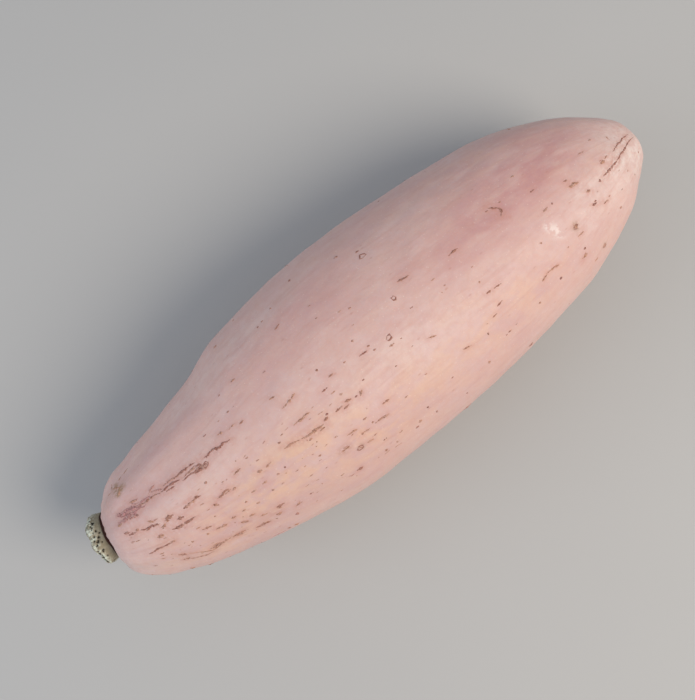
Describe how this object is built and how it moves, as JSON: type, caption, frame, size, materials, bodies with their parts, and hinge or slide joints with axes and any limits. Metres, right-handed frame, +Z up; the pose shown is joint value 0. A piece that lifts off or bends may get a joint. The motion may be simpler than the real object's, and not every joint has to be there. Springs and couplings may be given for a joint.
{
  "type": "banana squash",
  "caption": "Long winter squash lying on its side, with a pink rind, brown corky streaks running lengthwise and a short corky stem.",
  "frame": {"origin": "middle of the part's bounding box in plan, at the height of the surface it lies on", "axes": "+X from the stem end to the blossom end, +Z up, -Y towards the side with most of the corky streaks"},
  "size_m": [0.6117, 0.2036, 0.192],
  "materials": {
    "rind": "waxy satin rind, pink to peach, with brown corky streaks",
    "cork": "dry matt cork, olive tan, pale and pitted at the rim"
  },
  "bodies": {
    "root": {"fruit": "rind", "stem": "cork"}
  },
  "joints": []
}
